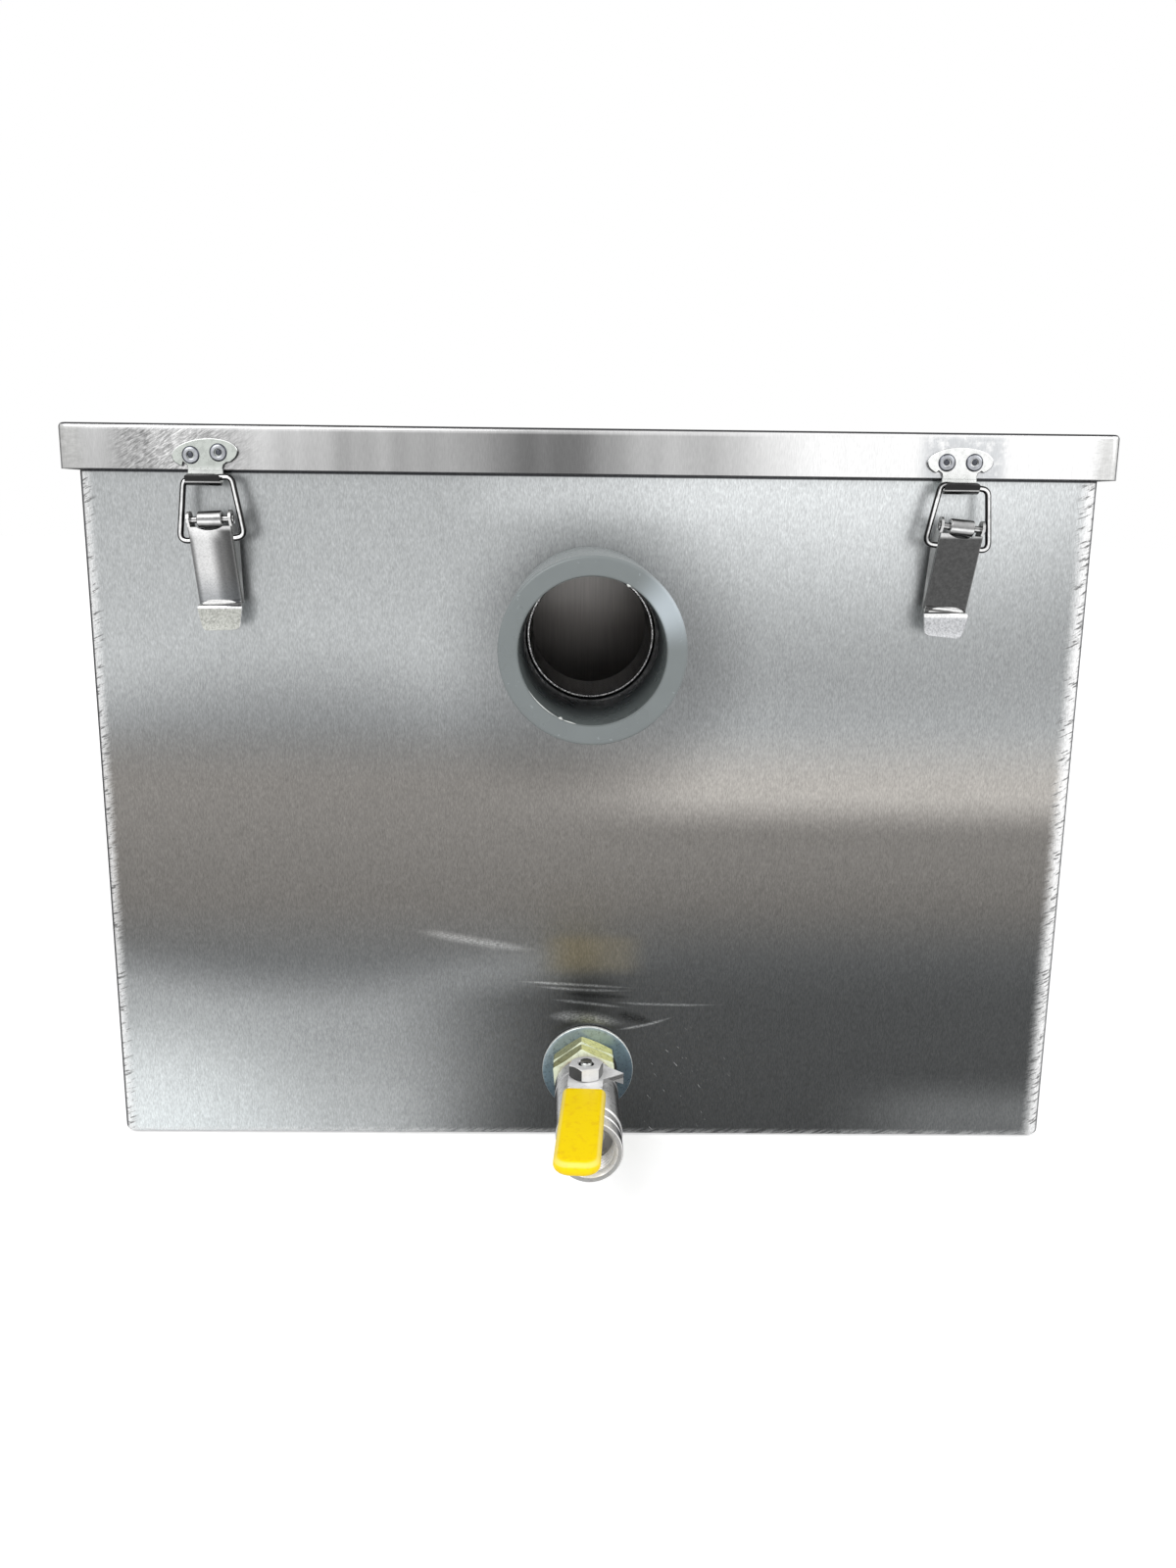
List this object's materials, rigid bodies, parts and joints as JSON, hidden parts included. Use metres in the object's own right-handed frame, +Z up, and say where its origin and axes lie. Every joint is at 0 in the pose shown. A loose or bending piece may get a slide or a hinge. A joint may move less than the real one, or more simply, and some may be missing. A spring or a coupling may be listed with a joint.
{
  "type": "grease trap",
  "caption": "Sheet steel grease trap with a latched lid, a pipe socket at each end, lift-out baffles, a strainer basket and a drain ball valve.",
  "frame": {"origin": "centre of the tank's flat base", "axes": "+Z up, -Y out of the inlet end that carries the drain valve, +X to the right when facing that end"},
  "size_m": [0.41, 0.705, 0.2978],
  "materials": {
    "brushed_steel": "fine brushed stainless sheet",
    "polished_steel": "bright rolled stainless",
    "grey_pvc": "satin grey PVC",
    "grey_zinc": "blue-grey zinc plate",
    "yellow_zinc": "pale yellow plated hexagon",
    "copper": "dull copper",
    "chrome": "bright nickel plate",
    "ptfe": "waxy white",
    "black_rubber": "matt rubber",
    "yellow_vinyl": "soft dipped vinyl"
  },
  "bodies": {
    "root": {"tank_wrap": "brushed_steel", "side_panel_left": "brushed_steel", "side_panel_right": "brushed_steel", "lid": "brushed_steel", "lid_gasket": "black_rubber", "inlet_stub": "polished_steel", "inlet_socket": "grey_pvc", "outlet_stub": "polished_steel", "outlet_socket": "grey_pvc", "inlet_baffle": "brushed_steel", "inlet_baffle_guide_left": "brushed_steel", "inlet_baffle_guide_right": "brushed_steel", "outlet_baffle": "brushed_steel", "outlet_baffle_guide_left": "brushed_steel", "outlet_baffle_guide_right": "brushed_steel", "strainer_basket": "brushed_steel", "basket_ledge_left": "brushed_steel", "basket_ledge_right": "brushed_steel", "drain_washer": "grey_zinc", "drain_backnut_rear": "yellow_zinc", "drain_backnut_front": "yellow_zinc", "drain_seal_ring": "copper", "drain_inner_seal": "black_rubber", "drain_backnut_inner": "yellow_zinc", "valve_body": "chrome", "valve_end": "chrome", "valve_seat_rear": "ptfe", "valve_seat_front": "ptfe", "gland_nut": "chrome", "latch_front_left_catch": "polished_steel", "latch_front_left_base": "polished_steel", "latch_front_left_pin": "chrome", "latch_front_right_catch": "polished_steel", "latch_front_right_base": "polished_steel", "latch_front_right_pin": "chrome", "latch_back_left_catch": "polished_steel", "latch_back_left_base": "polished_steel", "latch_back_left_pin": "chrome", "latch_back_right_catch": "polished_steel", "latch_back_right_base": "polished_steel", "latch_back_right_pin": "chrome"},
    "valve_handle": {"valve_ball": "chrome", "valve_stem": "chrome", "valve_lever": "chrome", "lever_sleeve": "yellow_vinyl", "handle_nut": "chrome"},
    "front_left_lever": {"latch_front_left_lever": "polished_steel"},
    "front_left_bail": {"latch_front_left_bail": "chrome"},
    "front_right_lever": {"latch_front_right_lever": "polished_steel"},
    "front_right_bail": {"latch_front_right_bail": "chrome"},
    "back_left_lever": {"latch_back_left_lever": "polished_steel"},
    "back_left_bail": {"latch_back_left_bail": "chrome"},
    "back_right_lever": {"latch_back_right_lever": "polished_steel"},
    "back_right_bail": {"latch_back_right_bail": "chrome"}
  },
  "joints": [
    {"name": "valve_handle_turn", "type": "hinge", "parent": "root", "child": "valve_handle", "pos_m": [0, -0.2995, 0.05], "axis": [0, 0, -1], "range_deg": [0, 90]},
    {"name": "front_left_lever_hinge", "type": "hinge", "parent": "root", "child": "front_left_lever", "pos_m": [-0.1445, -0.261, 0.262], "axis": [-1, 0, 0], "range_deg": [0, 95]},
    {"name": "front_left_bail_hinge", "type": "hinge", "parent": "front_left_lever", "child": "front_left_bail", "pos_m": [-0.1445, -0.261, 0.2545], "axis": [-1, 0, 0], "range_deg": [-77, 0]},
    {"name": "front_right_lever_hinge", "type": "hinge", "parent": "root", "child": "front_right_lever", "pos_m": [0.1445, -0.261, 0.262], "axis": [-1, 0, 0], "range_deg": [0, 95]},
    {"name": "front_right_bail_hinge", "type": "hinge", "parent": "front_right_lever", "child": "front_right_bail", "pos_m": [0.1445, -0.261, 0.2545], "axis": [-1, 0, 0], "range_deg": [-77, 0]},
    {"name": "back_left_lever_hinge", "type": "hinge", "parent": "root", "child": "back_left_lever", "pos_m": [-0.1445, 0.261, 0.262], "axis": [1, 0, 0], "range_deg": [0, 95]},
    {"name": "back_left_bail_hinge", "type": "hinge", "parent": "back_left_lever", "child": "back_left_bail", "pos_m": [-0.1445, 0.261, 0.2545], "axis": [1, 0, 0], "range_deg": [-77, 0]},
    {"name": "back_right_lever_hinge", "type": "hinge", "parent": "root", "child": "back_right_lever", "pos_m": [0.1445, 0.261, 0.262], "axis": [1, 0, 0], "range_deg": [0, 95]},
    {"name": "back_right_bail_hinge", "type": "hinge", "parent": "back_right_lever", "child": "back_right_bail", "pos_m": [0.1445, 0.261, 0.2545], "axis": [1, 0, 0], "range_deg": [-77, 0]}
  ],
  "couplings": [
    {"joint": "front_left_bail_hinge", "follows": "front_left_lever_hinge", "ratio": -0.8},
    {"joint": "front_right_bail_hinge", "follows": "front_right_lever_hinge", "ratio": -0.8},
    {"joint": "back_left_bail_hinge", "follows": "back_left_lever_hinge", "ratio": -0.8},
    {"joint": "back_right_bail_hinge", "follows": "back_right_lever_hinge", "ratio": -0.8}
  ]
}
